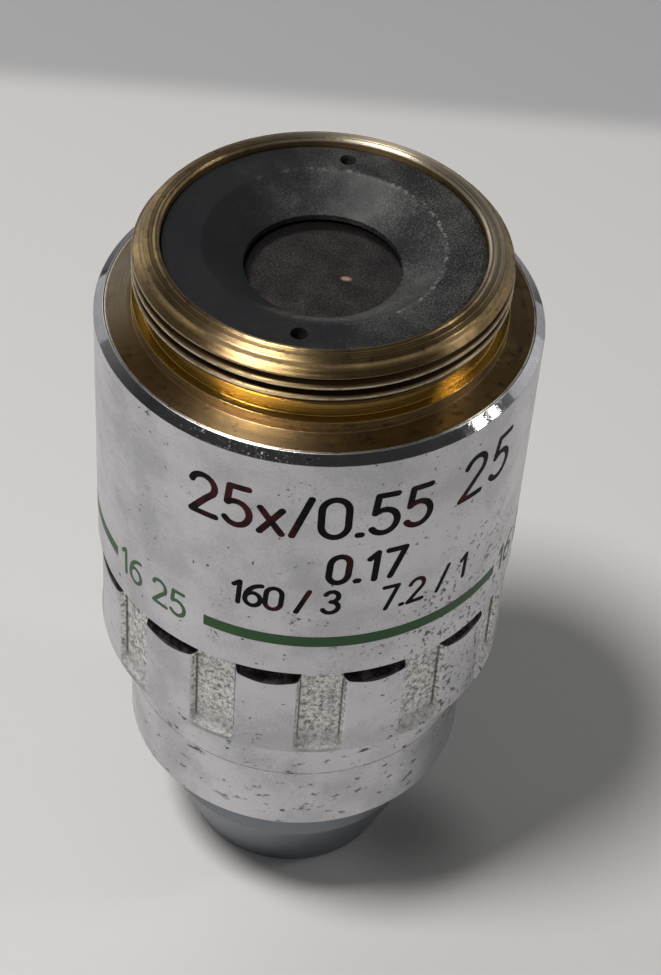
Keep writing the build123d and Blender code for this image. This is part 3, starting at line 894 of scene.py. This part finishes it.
def arc_mesh(name, inner, outer, low, high, arcs):
    """Closed blocks that follow the sleeve between pairs of azimuths."""
    places = []
    faces = []
    for start, end in arcs:
        count = max(2, int((end - start) / enamel_step) + 1)
        first = len(places)
        for azimuth in np.linspace(start, end, count):
            for radius, height in ((inner, low), (outer, low), (outer, high), (inner, high)):
                outward = direction(azimuth, 0.0) * radius
                places.append((outward.x * MM, outward.y * MM, height * MM))
        for slab in range(count - 1):
            for side in range(4):
                near, far = first + 4 * slab, first + 4 * slab + 4
                faces.append((near + side, far + side, far + (side + 1) % 4, near + (side + 1) % 4))
        faces.append(tuple(first + side for side in range(4)))
        faces.append(tuple(first + 4 * (count - 1) + side for side in (3, 2, 1, 0)))
    mesh = bpy.data.meshes.new(name)
    mesh.from_pydata(places, [], faces)
    mesh.shade_smooth()
    mesh.set_sharp_from_angle(angle=enamel_sharp_angle)
    return mesh


enamel_finish = Finish("green_enamel", Specular_IOR_Level=0.3)
enamel_spot = enamel_finish.place()
enamel_cloud = enamel_spot.noise(scale=1.4, detail=5.0, roughness=0.7)
enamel_chips = enamel_spot.noise(scale=4.5, detail=4.0, roughness=0.7).within(0.66, 0.72)
enamel_tone = enamel_cloud.mix(enamel_dark, enamel_light)
enamel_finish.vary(Base_Color=(enamel_chips * 0.6).mix(enamel_tone, enamel_chip),
                   Roughness=enamel_cloud * 0.3 + 0.3)

enamel_starts = [band_start + number * 360.0 / band_count for number in range(band_count)]
enamel_arcs = [(start + band_edge_angle, start + band_arc - band_edge_angle) for start in enamel_starts]
enamel_mesh = arc_mesh("band_enamel", enamel_foot, enamel_radius,
                       band_bottom + band_wall, band_top - band_wall, enamel_arcs)
enamel = link_piece("band_enamel", enamel_mesh, enamel_finish)
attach(enamel, "root")


# Numbers
# Plain numbers, engraved with a round-ended cutter and filled with black paint, with green ones between the
# arcs of the band. They stand for a magnification, an aperture, a cover glass, a tube length and a working
# distance.
ink_top = 12.1935
ink_foot = 12.17
ink_lift = 0.0006
ink_lift_count = 4
ink_step = 0.12
curve_step = 9.0
stroke_end_turns = (88, 75, 60, 45, 30, 15)
black_ink = (0.004, 0.0035, 0.004, 1.0)
black_ink_rust = (0.055, 0.009, 0.011, 1.0)
black_ink_worn = (0.14, 0.13, 0.13, 1.0)
green_ink = (0.03, 0.10, 0.035, 1.0)
green_ink_worn = (0.07, 0.085, 0.075, 1.0)


def oval(x, y, width, height, start, end):
    """Points on part of an ellipse, in units of the letter height."""
    count = max(6, int(abs(end - start) / curve_step))
    return [(x + width * math.cos(math.radians(turn)), y + height * math.sin(math.radians(turn)))
            for turn in np.linspace(start, end, count)]


# Each glyph: its width, then its strokes as (closed, points)
glyphs = {
    "0": (0.52, [(True, oval(0.26, 0.70, 0.26, 0.30, 0, 180) + oval(0.26, 0.30, 0.26, 0.30, 180, 360))]),
    "1": (0.26, [(False, [(0.0, 0.80), (0.20, 1.0)]), (False, [(0.20, 1.0), (0.20, 0.0)])]),
    "2": (0.52, [(False, oval(0.25, 0.73, 0.25, 0.27, 165, -35) + [(0.30, 0.40), (0.0, 0.0)]),
                 (False, [(0.0, 0.0), (0.52, 0.0)])]),
    "3": (0.50, [(False, oval(0.23, 0.76, 0.22, 0.24, 155, -90)),
                 (False, oval(0.23, 0.26, 0.26, 0.26, 90, -155))]),
    "5": (0.50, [(False, [(0.46, 1.0), (0.09, 1.0)]), (False, [(0.09, 1.0), (0.04, 0.55)]),
                 (False, oval(0.22, 0.31, 0.27, 0.31, 130, -145))]),
    "6": (0.52, [(True, oval(0.26, 0.30, 0.26, 0.30, 0, 351)),
                 (False, oval(0.56, 0.30, 0.56, 0.70, 180, 95))]),
    "7": (0.48, [(False, [(0.0, 1.0), (0.48, 1.0)]), (False, [(0.48, 1.0), (0.15, 0.0)])]),
    "x": (0.42, [(False, [(0.0, 0.62), (0.42, 0.0)]), (False, [(0.0, 0.0), (0.42, 0.62)])]),
    "/": (0.34, [(False, [(0.34, 1.0), (0.0, 0.0)])]),
    ".": (0.06, [(False, [(0.0, 0.02), (0.06, 0.02)])]),
    " ": (0.20, []),
}
black_rows = [
    {"text": "25x/0.55", "azimuth": -22.0, "height": 36.35, "size": 2.75,
     "line": 0.40, "space": 0.20, "slant": 0.0},
    {"text": "25", "azimuth": 48.7, "height": 36.65, "size": 2.8,
     "line": 0.38, "space": 0.29, "slant": 0.12},
    {"text": "0.17", "azimuth": 14.0, "height": 32.85, "size": 2.0,
     "line": 0.38, "space": 0.24, "slant": 0.06},
    {"text": "160 / 3", "azimuth": -10.0, "height": 30.5, "size": 1.65,
     "line": 0.30, "space": 0.16, "slant": 0.06},
    {"text": "7.2 / 1", "azimuth": 28.5, "height": 30.25, "size": 1.7,
     "line": 0.28, "space": 0.19, "slant": 0.06},
]
green_rows = [
    {"text": "16 25", "azimuth": azimuth, "height": 27.35, "size": 1.85,
     "line": 0.26, "space": 0.20, "slant": 0.0}
    for azimuth in (-48.0, 72.0, 192.0)
]


def finer(points, step):
    """The same line with more points, no further apart than the step."""
    line = [points[0]]
    for first, second in zip(points, points[1:]):
        count = max(1, math.ceil(math.dist(first, second) / step))
        line += [(first[0] + (second[0] - first[0]) * share / count,
                  first[1] + (second[1] - first[1]) * share / count) for share in range(1, count + 1)]
    return line


def stroke_sides(points, closed, half):
    """Left and right sides of a stroke with round ends."""
    line = np.array(points)
    if closed:
        along = np.roll(line, -1, axis=0) - np.roll(line, 1, axis=0)
        widths = np.full(len(line), half)
    else:
        along = np.gradient(line, axis=0)
        along /= np.linalg.norm(along, axis=1)[:, None]
        turns = np.radians(stroke_end_turns)
        start = line[0] - along[0] * half * np.sin(turns)[:, None]
        end = line[-1] + along[-1] * half * np.sin(turns[::-1])[:, None]
        widths = np.concatenate([half * np.cos(turns), np.full(len(line), half), half * np.cos(turns[::-1])])
        along = np.concatenate([np.repeat(along[:1], len(turns), axis=0), along,
                                np.repeat(along[-1:], len(turns), axis=0)])
        line = np.concatenate([start, line, end])
    along /= np.linalg.norm(along, axis=1)[:, None]
    aside = np.stack([-along[:, 1], along[:, 0]], axis=1) * widths[:, None]
    return line + aside, line - aside


def numbers_mesh(name, rows):
    """Rows of numbers wrapped round the sleeve. Strokes that cross lie at slightly different levels."""
    places = []
    faces = []
    lift = 0
    for row in rows:
        pen = 0.0
        for letter in row["text"]:
            width, strokes = glyphs[letter]
            for closed, points in strokes:
                lift = (lift + 1) % ink_lift_count
                top = ink_top + lift * ink_lift
                scaled = [((pen + x + row["slant"] * y) * row["size"], y * row["size"]) for x, y in points]
                scaled = finer(scaled + scaled[:1] if closed else scaled, ink_step)
                left, right = stroke_sides(scaled[:-1] if closed else scaled, closed, row["line"] / 2)
                count = len(left)
                first = len(places)
                for across, radius in ((left, top), (right, top), (right, ink_foot), (left, ink_foot)):
                    for x, y in across:
                        outward = direction(row["azimuth"] + math.degrees(x / sleeve_radius), 0.0) * radius
                        places.append((outward.x * MM, outward.y * MM, (row["height"] + y) * MM))
                spans = range(count if closed else count - 1)
                for side in range(4):
                    near, far = first + side * count, first + (side + 1) % 4 * count
                    faces += [(near + i, far + i, far + (i + 1) % count, near + (i + 1) % count)
                              for i in spans]
                if not closed:
                    faces.append(tuple(first + side * count for side in (3, 2, 1, 0)))
                    faces.append(tuple(first + side * count + count - 1 for side in range(4)))
            pen += width + row["space"]
    mesh = bpy.data.meshes.new(name)
    mesh.from_pydata(places, [], faces)
    return mesh


black_finish = Finish("black_paint_fill", Specular_IOR_Level=0.06)
black_spot = black_finish.place()
black_rust = black_spot.noise(scale=0.45, detail=3.0, roughness=0.6).within(0.5, 0.62)
black_worn = black_spot.noise(scale=5.0, detail=4.0, roughness=0.75).within(0.62, 0.72)
black_tone = (black_rust * 0.8).mix(black_ink, black_ink_rust)
black_finish.vary(Base_Color=(black_worn * 0.3).mix(black_tone, black_ink_worn),
                  Roughness=black_worn * 0.2 + 0.5)
black_numbers = link_piece("black_numbers", numbers_mesh("black_numbers", black_rows), black_finish)
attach(black_numbers, "root")

green_finish = Finish("green_paint_fill", Specular_IOR_Level=0.3)
green_spot = green_finish.place()
green_worn = green_spot.noise(scale=3.5, detail=4.0, roughness=0.75).within(0.5, 0.62)
green_finish.vary(Base_Color=(green_worn * 0.7).mix(green_ink, green_ink_worn),
                  Roughness=green_worn * 0.2 + 0.45)
green_numbers = link_piece("green_numbers", numbers_mesh("green_numbers", green_rows), green_finish)
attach(green_numbers, "root")


# Lower barrel
# The barrel that holds the lens cells, turned from brass and plated like the sleeve. It is screwed up into
# the mount's skirt, and shows below the grip with a faint step.
barrel_radius = 10.3
barrel_bottom = 9.2
barrel_edge = 0.15
barrel_line = 14.3
barrel_band_radius = 10.5
barrel_band_step = 0.02
barrel_band_end = 18.04
barrel_thread_bore = 7.92
barrel_seat = 13.2
barrel_worn_side = (-0.35, -0.45, 0.0)
barrel_line_dirt = (0.12, 0.112, 0.105, 1.0)

barrel_outline = rounded([
    (barrel_thread_bore, barrel_bottom, 0.03),
    (barrel_radius - barrel_edge, barrel_bottom, 0.04),
    (barrel_radius, barrel_bottom + barrel_edge, 0.04),
    (barrel_radius, barrel_line, 0.03),
    (barrel_band_radius, barrel_line + barrel_band_step, 0.05),
    (barrel_radius, barrel_band_end, 0.03),
    (barrel_radius, mount_step_height, 0.05),
    (mount_bore, mount_step_height, 0.05),
    (mount_bore, barrel_seat, 0.05),
    (barrel_thread_bore, barrel_seat, 0.05),
])

barrel_finish, barrel_spot, barrel_grain, barrel_pits, barrel_tone = satin_chrome(
    "barrel_chrome", stretch=(1.0, 1.0, 1.9), marred=0.30, fine=1.05, blur=0.11, worn_side=barrel_worn_side)
barrel_height = barrel_spot.height()
barrel_packed = barrel_spot.noise(scale=0.9, detail=4.0, roughness=0.7)
barrel_step = (barrel_height.between(barrel_line, barrel_line + 0.02, barrel_line + 0.09, barrel_line + 0.17)
               * barrel_packed.within(0.25, 0.55))
barrel_tone = (barrel_step * 0.65).mix(barrel_tone, barrel_line_dirt)
barrel_finish.vary(Base_Color=barrel_tone,
                   Roughness=barrel_grain * 0.14 + 0.22,
                   Normal=(barrel_grain * 0.15 - barrel_pits * 0.5).bump(distance=0.03))

barrel_mesh = turned_mesh("lower_barrel_shell", barrel_outline, even_azimuths(smooth_columns))
barrel = link_piece("lower_barrel_shell", barrel_mesh, barrel_finish)
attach(barrel, "root")
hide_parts("lower_barrel")


# Nose
# The cell of the front lens, screwed into the barrel. It tapers to the flat ring that the objective stands
# on, and is plated dark.
nose_mouth_radius = 4.4
nose_foot_radius = 6.1
nose_cone_radius = 6.375
nose_cone_bottom = 0.2
nose_cone_top = 5.6
nose_radius = 8.4
nose_thread_radius = 7.9
nose_top = 13.0
nose_cell_bore = 6.62
nose_cell_seat = 5.0
nose_ring_bore = 4.62
nose_ring_seat = 2.9
nose_lens_bore = 3.62
nose_lens_seat = 1.3
nose_opening = 3.0
nose_dark = (0.165, 0.178, 0.197, 1.0)
nose_light = (0.235, 0.248, 0.27, 1.0)

nose_outline = rounded([
    (nose_mouth_radius, 0.0, 0.03),
    (nose_foot_radius, 0.0, 0.05),
    (nose_cone_radius, nose_cone_bottom, 0.05),
    (nose_radius, nose_cone_top, 0.1),
    (nose_radius, barrel_bottom, 0.02),
    (nose_thread_radius, barrel_bottom, 0.02),
    (nose_thread_radius, nose_top, 0.05),
    (nose_cell_bore, nose_top, 0.05),
    (nose_cell_bore, nose_cell_seat, 0.02),
    (nose_ring_bore, nose_cell_seat, 0.02),
    (nose_ring_bore, nose_ring_seat, 0.02),
    (nose_lens_bore, nose_ring_seat, 0.02),
    (nose_lens_bore, nose_lens_seat, 0.02),
    (nose_opening, nose_lens_seat, 0.02),
])

nose_finish = Finish("dark_plating", Metallic=1.0)
nose_grain = nose_finish.place().noise(scale=5.0, detail=4.0, roughness=0.7)
nose_finish.vary(Base_Color=nose_grain.mix(nose_dark, nose_light),
                 Roughness=nose_grain * 0.14 + 0.36,
                 Normal=nose_grain.bump(distance=0.004))

nose = link_piece("nose", turned_mesh("nose", nose_outline, even_azimuths(plain_columns)), nose_finish)
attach(nose, "root")
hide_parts("nose_cell")


# Lens cells, lenses and spacers
# What the barrel holds inside: turned brass cells, blackened spacers and the stop, ground lenses, and three
# steel centring screws. They keep their CAD shapes.
cell_dark = (0.50, 0.36, 0.16, 1.0)
cell_light = (0.62, 0.46, 0.22, 1.0)
spacer_dark = (0.012, 0.012, 0.013, 1.0)
spacer_light = (0.03, 0.03, 0.032, 1.0)
glass_tint = (0.96, 0.98, 0.97, 1.0)
glass_clear = (1.0, 1.0, 1.0, 1.0)
screw_dark = (0.35, 0.35, 0.36, 1.0)
screw_light = (0.5, 0.5, 0.52, 1.0)

cell_finish = Finish("cell_brass", Metallic=1.0)
cell_marks = cell_finish.place().rings(scale=4.0, detail=3.0)
cell_finish.vary(Base_Color=cell_marks.mix(cell_dark, cell_light),
                 Roughness=cell_marks * 0.2 + 0.25)
spacer_finish = Finish("blackened_metal")
spacer_marks = spacer_finish.place().rings(scale=4.0, detail=3.0)
spacer_finish.vary(Base_Color=spacer_marks.mix(spacer_dark, spacer_light),
                   Roughness=spacer_marks * 0.2 + 0.5)
glass_finish = Finish("optical_glass", Transmission_Weight=1.0, IOR=1.52)
glass_haze = glass_finish.place().noise(scale=0.8)
glass_finish.vary(Base_Color=glass_haze.mix(glass_tint, glass_clear),
                  Roughness=glass_haze * 0.03)
screw_finish = Finish("screw_steel", Metallic=1.0)
screw_marks = screw_finish.place().noise(scale=6.0, detail=3.0)
screw_finish.vary(Base_Color=screw_marks.mix(screw_dark, screw_light),
                  Roughness=screw_marks * 0.2 + 0.3)
inner_finishes = {
    cell_finish: ["front_lens_ring", "meniscus_cell", "front_doublet_cell", "middle_doublet_cell",
                  "rear_doublet_cell"],
    spacer_finish: ["front_spacer", "middle_spacer", "rear_spacer", "aperture_stop", "rear_lens_cell"],
    glass_finish: ["front_lens", "meniscus_lens", "front_doublet_crown", "front_doublet_flint",
                   "middle_doublet_crown", "middle_doublet_flint", "rear_doublet_crown",
                   "rear_doublet_flint"],
    screw_finish: ["centring_screws"],
}
for inner_finish, inner_nodes in inner_finishes.items():
    for inner_node in inner_nodes:
        inner_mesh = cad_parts[inner_node].data
        inner_mesh.materials.clear()
        inner_mesh.materials.append(inner_finish.material)
